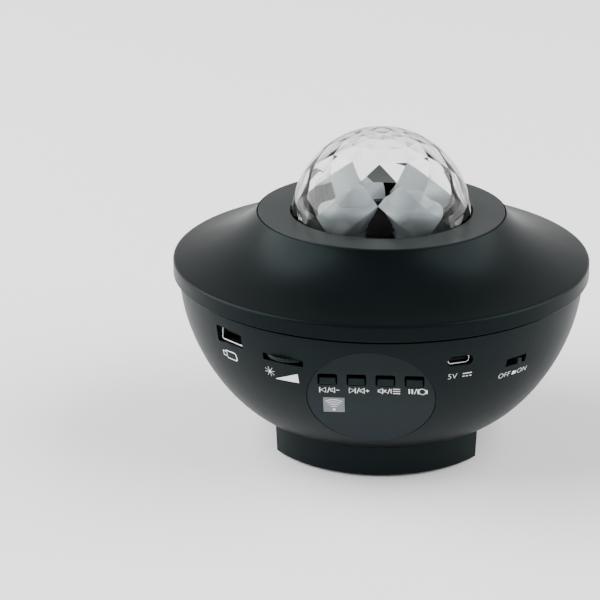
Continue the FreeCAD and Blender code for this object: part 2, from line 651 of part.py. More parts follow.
# Gear motor, its strap, shaft and pinion
gearbox_top = deck_z - seat_gap
gearbox = block(-6, 6, motor_front, motor_front + 10, gearbox_top - 9, gearbox_top)
can = rod(6, 0, pinion_y, gearbox_top - 24, gearbox_top - 9)
can = can.common(block(-7, 7, motor_front, motor_front + 10, 50, 90))
motor = gearbox.fuse(can)
nodes["gear_motor"] = motor.cut(rod(shaft_r + run_gap, 0, pinion_y, gearbox_top - 7, gearbox_top + 1))
strap = block(-7.5, 7.5, motor_front + 0.8, motor_front + 11.5, gearbox_top - 7, deck_z)
strap = strap.cut(block(-6.1, 6.1, motor_front - 1, motor_front + 10.1, gearbox_top - 8, deck_z + 1))
for side in (-1, 1):
    ear_x = side * strap_x
    strap = strap.fuse(block(ear_x - 3.2, ear_x + 3.2, pinion_y - 2.6, pinion_y + 2.6, deck_z - 1.2, deck_z))
    strap = strap.cut(block(-6.1, 6.1, motor_front - 1, motor_front + 10.1, gearbox_top - 8, deck_z + 1))
for side in (-1, 1):
    strap = strap.cut(rod(1.1, side * strap_x, pinion_y, deck_z - 3, deck_z + 1))
nodes["motor_strap"] = strap
nodes["strap_screws"] = Part.makeCompound(
    [screw(side * strap_x, pinion_y, deck_z - 1.2, 1, 1.8, 1.1, 0.85, 2.4) for side in (-1, 1)])
gear_z = deck_top + 0.6
nodes["motor_shaft"] = rod(shaft_r, 0, pinion_y, gearbox_top - 6.8, gear_z + gear_h + 0.6)
pinion = involute_gear(pinion_teeth, 4.75, 2.95, -backlash, gear_z, gear_h, 0, pinion_y)
nodes["motor_pinion"] = pinion.cut(rod(shaft_r + 0.04, 0, pinion_y, gear_z - 1, gear_z + gear_h + 1))

# Ripple dome: clear inner dome with a ring gear inside its rim
skirt_z = deck_top + 0.1
bubble = Part.makeSphere(ripple_r, V(0, 0, dome_z)).cut(rod(60, 0, 0, 20, dome_z))
bubble = bubble.fuse(rod(ripple_r, 0, 0, skirt_z, dome_z))
bubble = bubble.cut(Part.makeSphere(ripple_r - ripple_thick, V(0, 0, dome_z)))
bubble = bubble.cut(rod(ripple_r - ripple_thick, 0, 0, skirt_z - 1, dome_z))
rim = ring(ripple_r - 0.2, ring_tip_r, skirt_z, skirt_z + gear_h + 0.4)
space = involute_gear(ring_teeth, module * ring_teeth / 2 + 1.0, ring_tip_r - 0.6, backlash,
                      skirt_z - 1, gear_h + 4, 0, 0)
nodes["ripple_dome"] = bubble.fuse(rim.cut(space))

os.makedirs("parts", exist_ok=True)
for name, shape in nodes.items():
    if len(shape.Solids) == 1:
        shape = shape.Solids[0]
    else:
        shape = Part.makeCompound(shape.Solids)
    shape.exportStep("parts/" + name + ".step")
    print(name, len(shape.Solids), shape.isValid(), round(shape.Volume, 1))
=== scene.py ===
"""A star night light projector: black shells, a clear faceted dome over four lamps,
sockets, a brightness wheel, a power slider and a tilted panel with four keys.

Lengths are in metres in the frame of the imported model, and the small printed marks are
drawn in millimetres and set onto the bowl or the panel."""
import math

import bpy
import numpy as np
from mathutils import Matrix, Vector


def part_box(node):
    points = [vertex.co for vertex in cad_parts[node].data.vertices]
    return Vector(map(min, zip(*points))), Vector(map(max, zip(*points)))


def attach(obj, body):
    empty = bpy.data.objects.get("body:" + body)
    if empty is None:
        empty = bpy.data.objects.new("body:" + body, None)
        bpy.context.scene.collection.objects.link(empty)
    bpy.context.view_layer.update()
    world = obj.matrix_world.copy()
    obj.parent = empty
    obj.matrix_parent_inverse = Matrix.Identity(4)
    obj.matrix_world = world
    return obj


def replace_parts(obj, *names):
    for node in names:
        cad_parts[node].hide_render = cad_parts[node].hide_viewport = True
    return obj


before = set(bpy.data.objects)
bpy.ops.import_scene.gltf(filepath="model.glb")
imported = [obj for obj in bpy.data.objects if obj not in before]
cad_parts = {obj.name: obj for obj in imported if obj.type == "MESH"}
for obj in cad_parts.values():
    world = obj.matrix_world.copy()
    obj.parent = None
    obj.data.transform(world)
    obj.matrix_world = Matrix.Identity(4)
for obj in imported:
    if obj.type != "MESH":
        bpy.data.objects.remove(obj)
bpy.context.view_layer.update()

MM = 0.001
HOUSING = "housing"
ROUND = 240                      # faces round a large turned piece

# ---------------------------------------------------------------- sizes from the frame
ring_low, ring_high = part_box("bezel_ring")
dome_low, dome_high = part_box("dome_cover")
barrel_low, barrel_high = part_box("lens_barrels")
lens_low, lens_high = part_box("condenser_lenses")
laser_low, laser_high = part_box("laser_cap")
RIM_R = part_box("top_shell")[1].x
RING_R = ring_high.x
RING_Z = ring_high.z
DOME_R = 35.8 * MM               # outside of the dome
FACET_R = 34.7 * MM              # corners of the facets inside it
FACET_ROWS = (11.7, 24.2, 39.3, 52.9, 65.0, 75.5, 85.0)      # degrees above the dome's centre
FACET_SIDES = 12                 # corners in each row
DOME_Z = 92.7 * MM               # centre of the dome
PANEL_TILT = math.radians(25)    # the panel leans back by this much
PANEL_Y = -69.9 * MM             # middle of the panel's face
PANEL_Z = 43.1 * MM
KEY_BACK = PANEL_Y + 2.7 * MM    # where the key caps end and their collars start
LAMP_AT = 12.3 * MM              # the lamps look this far from both middle planes
LAMP_R = 11.6 * MM
WHEEL_R = 9.8 * MM
WHEEL_NOTCHES = 48

# ---------------------------------------------------------------- looks of print and light
PRINT_LIFT = 0.04 * MM           # ink stands this far off the plastic
PEN = 0.34                       # mm, width of most printed lines
KEY_MARK_SIZE = (1.05, 1.2)      # stretch of the marks under the keys, across and up
CLEAR_SHEEN = 0.12               # share of its surface reflections that clear plastic shows
WORLD_LIGHT = 1.5                # strength of the studio's world
LIGHT_SIZE = 2.7                 # metres along each side of the two light panels


# ---------------------------------------------------------------- shader helpers
class Field:
    """A socket of a material that adds and multiplies like a number."""

    def __init__(self, finish, socket):
        self.finish = finish
        self.socket = socket

    def _math(self, operation, a, b):
        return self.finish.node("ShaderNodeMath", {"operation": operation}, {0: a, 1: b})

    def __add__(self, other):
        return self._math("ADD", self, other)

    def __mul__(self, other):
        return self._math("MULTIPLY", self, other)

    def __sub__(self, other):
        return self._math("SUBTRACT", self, other)

    def __rsub__(self, other):
        return self._math("SUBTRACT", other, self)

    __radd__ = __add__
    __rmul__ = __mul__


class Finish:
    """A material under construction: one method makes any node."""

    def __init__(self, name):
        self.material = bpy.data.materials.new(name)
        self.material.use_nodes = True
        self.tree = self.material.node_tree
        self.tree.nodes.clear()
        self.place = self.node("ShaderNodeTexCoord", {}, {}, output="Object")

    def node(self, kind, settings, sockets, output=0):
        made = self.tree.nodes.new(kind)
        for key, value in settings.items():
            if key == "stops":
                ramp = made.color_ramp
                while len(ramp.elements) < len(value):
                    ramp.elements.new(0.5)
                for element, (at, colour) in zip(ramp.elements, value):
                    element.position = at
                    element.color = colour
            else:
                setattr(made, key, value)
        for key, value in sockets.items():
            socket = made.inputs[key]
            if isinstance(value, Field):
                self.tree.links.new(value.socket, socket)
            else:
                socket.default_value = value
        return Field(self, made.outputs[output]) if made.outputs else None

    def split(self, axis):
        return self.node("ShaderNodeSeparateXYZ", {}, {0: self.place}, output=axis)

    def noise(self, scale, detail=2.0, rough=0.5, squash=(1, 1, 1)):
        spot = self.node("ShaderNodeMapping", {}, {"Vector": self.place, "Scale": squash})
        return self.node("ShaderNodeTexNoise", {}, {
            "Vector": spot, "Scale": scale, "Detail": detail, "Roughness": rough})

    def between(self, dark, light, share):
        return self.node("ShaderNodeMix", {"data_type": "RGBA"}, {
            0: share, 6: (*dark, 1), 7: (*light, 1)}, output=2)

    def bump(self, height, strength, depth):
        return self.node("ShaderNodeBump", {}, {
            "Height": height, "Strength": strength, "Distance": depth})

    def done(self, **inputs):
        shader = self.node("ShaderNodeBsdfPrincipled", {}, {
            key.replace("_", " "): value for key, value in inputs.items()})
        self.node("ShaderNodeOutputMaterial", {}, {"Surface": shader})
        return self.material


def moulded(name, dark, light, rough, specular, grain=2600.0, depth=0.012, cool=1.0):
    """Moulded plastic: fine spark-eroded grain and faint cloudy changes of gloss. A cool
    number under one takes that much red out of its reflections."""
    f = Finish(name)
    cloud = f.noise(38.0, 3.0)
    fine = f.noise(grain, 2.0, 0.6)
    return f.done(Base_Color=f.between(dark, light, cloud),
                  Roughness=rough + 0.10 * (cloud - 0.5) + 0.06 * (fine - 0.5),
                  Specular_IOR_Level=specular, Specular_Tint=(cool, 1, 1, 1),
                  Normal=f.bump(fine, 0.35, depth * MM))


def clear(name, tint, ior, rough):
    """Clear polished plastic with a trace of flow marks."""
    f = Finish(name)
    flow = f.noise(55.0, 2.0)
    return f.done(Base_Color=(*tint, 1), Roughness=rough, IOR=ior, Transmission_Weight=1.0,
                  Specular_Tint=(CLEAR_SHEEN, CLEAR_SHEEN, CLEAR_SHEEN, 1),
                  Normal=f.bump(flow, 0.04, 0.05 * MM))


def metal(name, dark, light, rough, across, scale=900.0):
    """Rolled or turned metal with fine scratches along one direction."""
    f = Finish(name)
    scratch = f.noise(scale, 3.0, 0.6, across)
    return f.done(Base_Color=f.between(dark, light, scratch), Metallic=1.0,
                  Roughness=rough + 0.12 * (scratch - 0.5),
                  Normal=f.bump(scratch, 0.15, 0.01 * MM))


def painted_edge_light(name, highlight_r):
    """Plated sheet with painted light: dark inside as painted shade, and bright on the punched edge
    beyond a distance from the axis as a painted highlight.
    """
    f = Finish(name)
    scratch = f.noise(900.0, 3.0)
    x, y = f.split(0), f.split(1)
    out = f.node("ShaderNodeMath", {"operation": "SQRT"}, {0: x * x + y * y})
    # painted highlight on the punched edge, painted shade inside it
    edge = f.node("ShaderNodeMapRange", {}, {0: out, 1: highlight_r, 2: highlight_r + 0.15 * MM})
    return f.done(Base_Color=f.between((0.05, 0.05, 0.05), (0.92, 0.92, 0.90), edge),
                  Metallic=0.9 - 0.7 * edge, Roughness=0.35 + 0.2 * scratch)


def painted_slope_shade(name, top, bottom, rough, specular):
    """Moulded plastic with painted shade: dark at the top of the panel and paler down its slope,
    standing in for shade there.
    """
    f = Finish(name)
    fine = f.noise(2600.0, 2.0, 0.6)
    # painted shade: the colour runs from dark at the top of the panel to paler lower down
    low = f.node("ShaderNodeMapRange", {"interpolation_type": "SMOOTHSTEP"}, {
        0: f.split(2), 1: 62 * MM, 2: 34 * MM})
    return f.done(Base_Color=f.between(top, bottom, low + 0.08 * (fine - 0.5)),
                  Roughness=rough + 0.06 * (fine - 0.5), Specular_IOR_Level=specular,
                  Specular_Tint=(0.7, 1, 1, 1), Normal=f.bump(fine, 0.35, 0.012 * MM))


def circuit(name):
    """Solder mask over copper tracks."""
    f = Finish(name)
    tracks = f.node("ShaderNodeTexBrick", {}, {
        "Vector": f.place, "Scale": 260.0, "Mortar Size": 0.06}, output=1)
    return f.done(Base_Color=f.between((0.01, 0.05, 0.022), (0.02, 0.09, 0.035), tracks),
                  Roughness=0.35 + 0.1 * tracks, Normal=f.bump(tracks, 0.2, 0.03 * MM))


def ink(name, colour):
    """White printing ink, a little uneven."""
    f = Finish(name)
    mottle = f.noise(900.0, 3.0)
    return f.done(Base_Color=f.between([c * 0.82 for c in colour], colour, mottle),
                  Roughness=0.55 + 0.1 * (mottle - 0.5))


SHELL = moulded("black shell plastic", (0.0022, 0.0034, 0.0038), (0.0032, 0.0046, 0.0050),
                0.36, 0.065, cool=0.72)
BOWL_BLACK = moulded("black bowl plastic", (0.0042, 0.0058, 0.0066), (0.0056, 0.0074, 0.0082),
                     0.40, 0.078, cool=0.72)
RING = moulded("black ring plastic", (0.010, 0.0125, 0.0125), (0.013, 0.016, 0.016),
               0.44, 0.16, cool=0.8)
# the panel's colour carries painted shade, darker at its top
PANEL = painted_slope_shade("panel plastic with painted shade", (0.0030, 0.0042, 0.0050), (0.0125, 0.0150, 0.0175), 0.50, 0.12)
KEY = moulded("key plastic", (0.0032, 0.0044, 0.0048), (0.0046, 0.0060, 0.0064),
              0.42, 0.16, cool=0.72)
DARK = moulded("dark inner plastic", (0.0045, 0.0055, 0.0060), (0.0070, 0.0082, 0.0088), 0.6, 0.1)
RUBBER = moulded("pad rubber", (0.010, 0.010, 0.010), (0.016, 0.016, 0.016), 0.8, 0.2, 1400.0, 0.03)
WHITE = moulded("white plastic", (0.62, 0.62, 0.60), (0.72, 0.72, 0.70), 0.45, 0.4)
SMOKE = moulded("smoked window", (0.105, 0.125, 0.135), (0.17, 0.19, 0.20), 0.35, 0.5)
# socket shells: painted highlight on the front edge, painted shade inside
PLATED_PAINTED_LIGHT = painted_edge_light("plated socket shell with painted light", 77.35 * MM)
LAMP = moulded("lamp housing", (0.25, 0.28, 0.305), (0.33, 0.36, 0.385), 0.34, 0.5, 1200.0, 0.006)
CLEAR = clear("clear dome plastic", (0.97, 0.985, 0.975), 1.47, 0.0)
FILM = clear("clear inner dome", (0.99, 0.995, 0.99), 1.03, 0.0)
LENS = moulded("frosted lens plastic", (0.27, 0.30, 0.325), (0.35, 0.38, 0.405),
               0.40, 0.5, 1200.0, 0.006)
STEEL = metal("plated steel", (0.45, 0.45, 0.44), (0.62, 0.62, 0.60), 0.28, (1, 1, 6))
ALLOY = metal("finned alloy", (0.55, 0.55, 0.56), (0.70, 0.70, 0.72), 0.35, (8, 1, 1))
BOARD = circuit("circuit board")
PAPER = moulded("pressed paper", (0.020, 0.020, 0.019), (0.034, 0.034, 0.032), 0.9, 0.1, 700.0, 0.05)
INK = ink("white ink", (0.86, 0.88, 0.88))

FINISHES = {
    BOWL_BLACK: ["bowl_shell", "base_cover"], PANEL: ["panel_plate"], RUBBER: ["rubber_feet"],
    KEY: ["power_slider"],
    DARK: ["lamp_deck", "led_board", "tact_switches", "control_chips", "ir_receiver", "dimmer_pot",
           "usb_a_tongue", "usb_c_tongue", "speaker_magnet", "motor_strap", "power_switch_body",
           "laser_module"],
    SMOKE: ["ir_window"], WHITE: ["motor_pinion", "led_chips"],
    FILM: ["ripple_dome"],
    STEEL: ["base_screws", "shell_screws", "key_board_screws", "main_board_screws", "deck_screws",
            "led_board_screws", "strap_screws", "motor_shaft", "gear_motor", "speaker_frame",
            "radio_module"],
    PLATED_PAINTED_LIGHT: ["usb_a_shell", "usb_c_shell"],
    ALLOY: ["heat_sink", "capacitors"],
    BOARD: ["main_board", "key_board"], PAPER: ["speaker_cone"],
}
for finish, names in FINISHES.items():
    for name in names:
        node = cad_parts[name]
        node.data.materials.clear()
        node.data.materials.append(finish)


# ---------------------------------------------------------------- mesh helpers
def piece(name, points, faces, finish, smooth=True, body=HOUSING):
    """A mesh from an array of points and a list of faces, riding on a body."""
    mesh = bpy.data.meshes.new(name)
    mesh.from_pydata([tuple(p) for p in np.asarray(points, float)], [], [tuple(f) for f in faces])
    flags = np.broadcast_to(np.asarray(smooth, bool), len(mesh.polygons)).copy()
    mesh.polygons.foreach_set("use_smooth", flags)
    mesh.materials.append(finish)
    mesh.update()
    made = bpy.data.objects.new(name, mesh)
    bpy.context.scene.collection.objects.link(made)
    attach(made, body)
    return made


def grid_faces(rows, columns, closed_rows=False, closed_columns=True, start=0):
    """Quads of a grid of rows by columns, wrapped round where it is closed."""
    i, j = np.meshgrid(np.arange(rows if closed_rows else rows - 1),
                       np.arange(columns if closed_columns else columns - 1), indexing="ij")
    up, on = (i + 1) % rows, (j + 1) % columns
    quads = np.stack([i * columns + j, i * columns + on, up * columns + on, up * columns + j], -1)
    return quads.reshape(-1, 4) + start


def turned(profile, x=0.0, y=0.0, count=ROUND):
    """A closed profile of (radius, height) carried once round a vertical axis at x, y."""
    r, z = np.asarray(profile, float).T
    angle = np.linspace(0, 2 * math.pi, count, endpoint=False)
    points = np.stack([x + r[:, None] * np.cos(angle), y + r[:, None] * np.sin(angle),
                       z[:, None] + 0 * angle], -1)
    return points.reshape(-1, 3), grid_faces(len(r), count, closed_rows=True)


def bezier(corners, count):
    """Points of a cubic curve: its four corners weighted by the powers of t and 1 - t."""
    t = np.linspace(0, 1, count)[:, None]
    a, b, c, d = (np.asarray(p, float) for p in corners)
    return (1 - t) ** 3 * a + 3 * t * (1 - t) ** 2 * b + 3 * t ** 2 * (1 - t) * c + t ** 3 * d


def arc(centre, radius, start, end, count):
    """Points on a circle from one angle to another, in degrees."""
    a = np.radians(np.linspace(start, end, count))
    return np.stack([centre[0] + radius * np.cos(a), centre[1] + radius * np.sin(a)], -1)


def tight(points, spread=0.12 * MM):
    """Every corner of a profile gets two close neighbours, so that smooth shading turns there."""
    p = np.asarray(points, float)
    out = []
    for before, here, after in zip(np.roll(p, 1, 0), p, np.roll(p, -1, 0)):
        steps = [here + (other - here) * min(spread / np.linalg.norm(other - here), 0.3)
                 for other in (before, after)]
        out += [steps[0], here, steps[1]]
    return np.array(out)


# ---------------------------------------------------------------- the shells
BOWL = np.array([(47.5, 12.5), (62.7, 19.0), (80.9, 45.6), (80.7, 70.6)]) * MM
bowl_curve = bezier(BOWL, 400)


def bowl_radius(z):
    """Radius of the bowl's outside at a height, read off its curve."""
    return np.interp(z, bowl_curve[:, 1], bowl_curve[:, 0])


def make_top_shell():
    """The flare runs in a hollow curve from the bezel ring to a rounded rim and a plain band."""
    lip = (RING_R + 0.5 * MM, RING_Z - 0.2 * MM)
    edge = 1.2 * MM
    rim_z = 77.2 * MM
    outside = bezier([lip, (54.9 * MM, 87.1 * MM), (65.4 * MM, 81.2 * MM),
                      (RIM_R - edge, rim_z)], 70)
    corner = arc((RIM_R - edge, rim_z - 1.1 * edge), edge, 80, 0, 8) + [0, 0.05 * edge]
    inner = bezier([(78.8 * MM, 75.6 * MM), (63.4 * MM, 79.2 * MM), (52.4 * MM, 85.2 * MM),
                    (47.6 * MM, 91.3 * MM)], 30)
    band_low, step_z = 70.6 * MM, 73.6 * MM
    band_in = RIM_R - 2.2 * MM
    low_corners = tight([(RIM_R, rim_z - 3 * MM), (RIM_R, 70.85 * MM),
                         (RIM_R - 0.25 * MM, band_low), (band_in, band_low),
                         (band_in, step_z), (78.8 * MM, step_z)])
    seat_r, hole_r = 42 * MM, 34.5 * MM
    seat = tight([(44 * MM, 89.5 * MM), (hole_r, 89.5 * MM), (hole_r, 91.7 * MM),
                  (seat_r, 91.7 * MM), (seat_r, 93.5 * MM), (lip[0], 93.5 * MM),
                  (lip[0], lip[1] - 0.1 * MM)])
    profile = np.concatenate([outside, corner, low_corners[1:-1], inner, seat])
    points, faces = turned(profile)
    shell = piece("flare_shell", points, faces, SHELL)
    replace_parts(shell, "top_shell")


def make_bezel():
    """A flat ring with softly broken edges."""
    low, top = ring_low.z, RING_Z
    hole_r = 36.3 * MM
    soft = 0.35 * MM
    outer = arc((RING_R - soft, top - soft), soft, 90, 0, 6)
    inner = arc((hole_r + soft, top - soft), soft, 180, 90, 6)
    flat = np.stack([np.linspace(36.9 * MM, RING_R - 0.7 * MM, 12), np.full(12, top)], -1)
    base = tight([(RING_R, low + 0.3 * MM), (RING_R, low), (hole_r, low),
                  (hole_r, low + 0.3 * MM)])[1:-1]
    points, faces = turned(np.concatenate([inner, flat, outer, base]))
    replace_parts(piece("bezel_ring_turned", points, faces, RING), "bezel_ring")


def make_dome():
    """A smooth ball on a flange outside; inside, bands of flat triangles between rows of
    points on a slightly smaller sphere, each row turned half a step against the last."""
    sides = FACET_SIDES
    low_z, flange_z = dome_low.z, dome_low.z + 1.6 * MM
    climb = np.linspace(math.asin((flange_z + 0.3 * MM - DOME_Z) / DOME_R), math.radians(89.4), 90)
    ball = DOME_R * np.stack([np.cos(climb), np.sin(climb)], -1) + [0, DOME_Z]
    flange_r = dome_high.x
    rim = tight([(DOME_R + 0.3 * MM, flange_z), (flange_r, flange_z), (flange_r, low_z),
                 (flange_r - 0.6 * MM, low_z)])[1:-1]
    profile = np.concatenate([rim[::-1], ball])
    around = np.linspace(0, 2 * math.pi, ROUND, endpoint=False) - math.pi / 2
    outer = np.stack([profile[:, :1] * np.cos(around), profile[:, :1] * np.sin(around),
                      profile[:, 1:] + 0 * around], -1).reshape(-1, 3)
    faces = [tuple(q) for q in grid_faces(len(profile), ROUND)]
    faces.append(tuple((len(profile) - 1) * ROUND + np.arange(ROUND)))
    smooth = [True] * len(faces)
    # facets, wound towards the hollow
    rows = np.radians([math.degrees(math.asin((low_z - DOME_Z) / FACET_R)), *FACET_ROWS])
    step = 2 * math.pi / sides
    rings = []
    for k, lift in enumerate(rows):
        turn = step * np.arange(sides) + (step / 2 if k % 2 else 0) - math.pi / 2
        row_r = FACET_R * math.cos(lift)
        rings.append(np.stack([row_r * np.cos(turn), row_r * np.sin(turn),
                               np.full(sides, DOME_Z + FACET_R * math.sin(lift))], -1))
    base = len(outer)
    for k in range(len(rows) - 1):
        for j in range(sides):
            n = (j + 1) % sides
            a, b = base + k * sides + j, base + k * sides + n
            c, d = a + sides, b + sides
            faces += [(d, b, a), (d, a, c)] if k % 2 else [(c, b, a), (d, b, c)]
    faces.append(tuple((base + (len(rows) - 1) * sides + np.arange(sides))[::-1]))
    # flat foot between the flange and the lowest row of corners
    per = ROUND // sides
    for j in range(sides):
        n = (j + 1) % sides
        fan = (np.arange(per + 1) + per * j) % ROUND
        faces.append((base + j, base + n, *fan[::-1].tolist()))
    smooth += [False] * (len(faces) - len(smooth))
    points = np.concatenate([outer] + rings)
    dome = piece("dome_cover_cut", points, faces, CLEAR, smooth)
    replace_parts(dome, "dome_cover")


def make_lamps():
    """Four round lamp housings, narrow below, with a rounded shoulder and a bulging frosted
    lens in each: its cap is the part of a ball of radius (l^2 + h^2) / 2h over a rim of radius l
    that rises by h."""
    z0, z1 = barrel_low.z, barrel_high.z
    r = LAMP_R
    soft = 3.5 * MM
    foot = r - 5.6 * MM
    side = bezier([(foot, z0), (foot + 0.2 * MM, z0 + 4.0 * MM), (r, z0 + 8.0 * MM),
                   (r, z0 + 11.9 * MM)], 20)
    shoulder = arc((r - soft, z1 - soft), soft, 0, 90, 14)
    well_r = 8.75 * MM
    well = tight([(well_r, z1 - 0.02 * MM), (well_r, z1 - 2 * MM), (7.4 * MM, z1 - 2 * MM),
                  (3.4 * MM, z0), (3.6 * MM, z0)])[1:-1]
    housing_points, lens_points, faces_a, faces_b = [], [], [], []
    rise = lens_high.z - z1
    lens_r = 8.6 * MM
    big = (lens_r ** 2 + rise ** 2) / (2 * rise)
    half = math.degrees(math.asin(lens_r / big))
    cap = arc((0, z1 + rise - big), big, 90 - half, 89.6, 24)
    lens_profile = np.concatenate([[(lens_r, lens_low.z + 0.1 * MM), (lens_r, z1 - 0.1 * MM)], cap,
                                   [(0.05 * MM, lens_low.z), (lens_r - 0.2 * MM, lens_low.z)]])
    for sx in (-1, 1):
        for sy in (-1, 1):
            p, f = turned(np.concatenate([side, shoulder, well]), sx * LAMP_AT, sy * LAMP_AT, 96)
            faces_a.append(f + sum(map(len, housing_points)))
            housing_points.append(p)
            p, f = turned(lens_profile, sx * LAMP_AT, sy * LAMP_AT, 96)
            faces_b.append(f + sum(map(len, lens_points)))
            lens_points.append(p)
    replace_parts(piece("lamp_housings", np.concatenate(housing_points), np.concatenate(faces_a),
                      LAMP), "lens_barrels")
    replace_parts(piece("lamp_lenses", np.concatenate(lens_points), np.concatenate(faces_b),
                      LENS), "condenser_lenses")


def make_laser_cap():
    """A small stepped cap with an open middle."""
    z0, z1 = laser_low.z, laser_high.z
    profile = tight([(4.9 * MM, z0), (4.9 * MM, z1 - 0.6 * MM), (4.3 * MM, z1), (2.6 * MM, z1),
                     (2.2 * MM, z1 - 0.5 * MM), (2.2 * MM, z1 - 1.6 * MM), (4.05 * MM, z1 - 1.7 * MM),
                     (4.05 * MM, z0)])
    points, faces = turned(profile, count=72)
    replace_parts(piece("laser_cap_turned", points, faces, DARK), "laser_cap")


def blocks(boxes):
    """Boxes given by two corners and a bevel of the face towards the viewer."""
    points, faces = [], []
    for (x0, y0, z0), (x1, y1, z1), cut in boxes:
        start = len(points)
        points += [(x0 + cut, y0, z0 + cut), (x1 - cut, y0, z0 + cut),
                   (x1 - cut, y0, z1 - cut), (x0 + cut, y0, z1 - cut)]
        for y in (y0 + cut, y1):
            points += [(x0, y, z0), (x1, y, z0), (x1, y, z1), (x0, y, z1)]
        faces.append([start + k for k in (0, 1, 2, 3)])
        for low in (start, start + 4):
            faces += [[low + k, low + 4 + k, low + 4 + (k + 1) % 4, low + (k + 1) % 4]
                      for k in range(4)]
        faces.append([start + k for k in (11, 10, 9, 8)])
    return np.array(points), faces


def make_keys():
    """Four key caps, lower than their windows, each with its collar and stem behind the panel."""
    half, under, over = 3.3 * MM, 2.5 * MM, 0.55 * MM        # of a cap, from its window's middle
    stem = 2 * MM
    for name in ("previous_key", "next_key", "mute_key", "play_key"):
        low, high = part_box(name)
        x = (low.x + high.x) / 2
        z = (low.z + high.z) / 2
        points, faces = blocks([
            ((x - half, low.y, z - under), (x + half, KEY_BACK + 0.1 * MM, z + over), 0.3 * MM),
            ((low.x, KEY_BACK, low.z), (high.x, KEY_BACK + MM, high.z), 0.05 * MM),
            ((x - stem, KEY_BACK + 0.9 * MM, z - stem), (x + stem, high.y, z + stem), 0.05 * MM)])
        cap = piece(name + "_cap", points, faces, KEY, smooth=False, body=name)
        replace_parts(cap, name)


def make_wheel():
    """A thin notched wheel: with n notches its rim runs at R - d max(0, cos na)^3."""
    low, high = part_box("dimmer_wheel")
    x, y = (low.x + high.x) / 2, (low.y + high.y) / 2
    r = WHEEL_R
    top, under = high.z - 0.15 * MM, high.z - 1.45 * MM
    rim = [(r - 0.4 * MM, top), (r, top - 0.4 * MM), (r, under + 0.3 * MM), (r - 0.3 * MM, under)]
    profile = tight([(2.6 * MM, under), (2.6 * MM, top)] + rim, 0.06 * MM)
    points, faces = turned(profile, count=480)
    angle = np.arctan2(points[:, 1], points[:, 0])
    out = np.hypot(points[:, 0], points[:, 1])
    wave = np.maximum(0, np.cos(WHEEL_NOTCHES * angle)) ** 3
    dip = 0.3 * MM * wave * (out > r - 0.8 * MM)
    points[:, :2] *= (1 - dip / out)[:, None]
    wheel = piece("dimmer_wheel_turned", points + [x, y, 0], faces, KEY,
                  body="dimmer_wheel")
    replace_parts(wheel, "dimmer_wheel")


# ---------------------------------------------------------------- printed marks
def ribbon(points, width, closed=False):
    """A line drawn with a pen: the path moved half its width to each side of itself."""
    p = np.asarray(points, float)
    if closed:
        ahead, behind = np.roll(p, -1, 0), np.roll(p, 1, 0)
    else:
        ahead, behind = np.vstack([p[1:], p[-1:]]), np.vstack([p[:1], p[:-1]])
    run = ahead - behind
    run /= np.linalg.norm(run, axis=1)[:, None]
    side = np.stack([-run[:, 1], run[:, 0]], -1) * width / 2
    n = len(p)
    j = np.arange(n if closed else n - 1)
    k = (j + 1) % n
    return np.vstack([p - side, p + side]), np.stack([j, k, k + n, j + n], -1)


def filled(points, columns=1):
    """A four-cornered patch, split into columns so that it can follow a curve."""
    a, b, c, d = (np.asarray(p, float) for p in points)
    t = np.linspace(0, 1, columns + 1)[:, None]
    low, high = a + (b - a) * t, d + (c - d) * t
    j = np.arange(columns)
    return np.vstack([low, high]), np.stack([j, j + 1, j + 2 + columns, j + 1 + columns], -1)


def bar(x0, y0, x1, y1, columns=1):
    return filled([(x0, y0), (x1, y0), (x1, y1), (x0, y1)], columns)


def triangle(tip, heel, half):
    """An open arrowhead whose tip points left or right."""
    return ribbon([tip, (heel, half), (heel, -half)], PEN, closed=True)


def speaker(x):
    """The outline of a small horn loudspeaker."""
    return [ribbon([(x, 0.45), (x + 0.55, 0.45), (x + 1.5, 1.25), (x + 1.5, -1.25),
                    (x + 0.55, -0.45), (x, -0.45)], 0.32, closed=True)]


def slash(x):
    return [ribbon([(x - 0.4, -1.2), (x + 0.4, 1.2)], 0.28)]


def words(text, size):
    """Generic lettering: the letter outlines of the built-in font, filled."""
    curve = bpy.data.curves.new("letters", "FONT")
    curve.body = text
    curve.size = size
    curve.align_x = "CENTER"
    curve.align_y = "CENTER"
    curve.offset = -0.02 * size
    curve.resolution_u = 3
    holder = bpy.data.objects.new("letters", curve)
    bpy.context.scene.collection.objects.link(holder)
    bpy.context.view_layer.update()
    mesh = bpy.data.meshes.new_from_object(holder)
    flat = np.array([v.co[:2] for v in mesh.vertices])
    faces = [tuple(p.vertices) for p in mesh.polygons]
    bpy.data.objects.remove(holder)
    bpy.data.curves.remove(curve)
    bpy.data.meshes.remove(mesh)
    return flat, faces


def on_bowl(azimuth, z):
    """Places millimetres right and up on the bowl's outside round one point."""
    def place(flat):
        height = z + flat[:, 1] * MM * 0.95
        radius = bowl_radius(height) + PRINT_LIFT
        angle = math.radians(azimuth) + flat[:, 0] * MM / bowl_radius(z)
        return np.stack([radius * np.sin(angle), -radius * np.cos(angle), height], -1)
    return place


def on_panel(u, v, lift=PRINT_LIFT, size=(1, 1)):
    """Places millimetres right and up the slope of the tilted panel."""
    def place(flat):
        right = (u + flat[:, 0] * size[0]) * MM
        up = (v + flat[:, 1] * size[1]) * MM
        sin, cos = math.sin(PANEL_TILT), math.cos(PANEL_TILT)
        return np.stack([right, PANEL_Y - up * sin - lift * cos, PANEL_Z + up * cos - lift * sin], -1)
    return place


def printed(name, strokes, place):
    """One piece of ink from flat strokes in millimetres and the place they go to."""
    points, faces, start = [], [], 0
    for flat, quads in strokes:
        points.append(place(np.asarray(flat, float)))
        faces += [tuple(int(i) + start for i in q) for q in quads]
        start += len(flat)
    piece(name, np.concatenate(points), faces, INK, smooth=False)


def circle(x, y, r, count=24, start=0, end=360):
    a = np.radians(np.linspace(start, end, count, endpoint=end - start < 360))
    return np.stack([x + r * np.cos(a), y + r * np.sin(a)], -1)


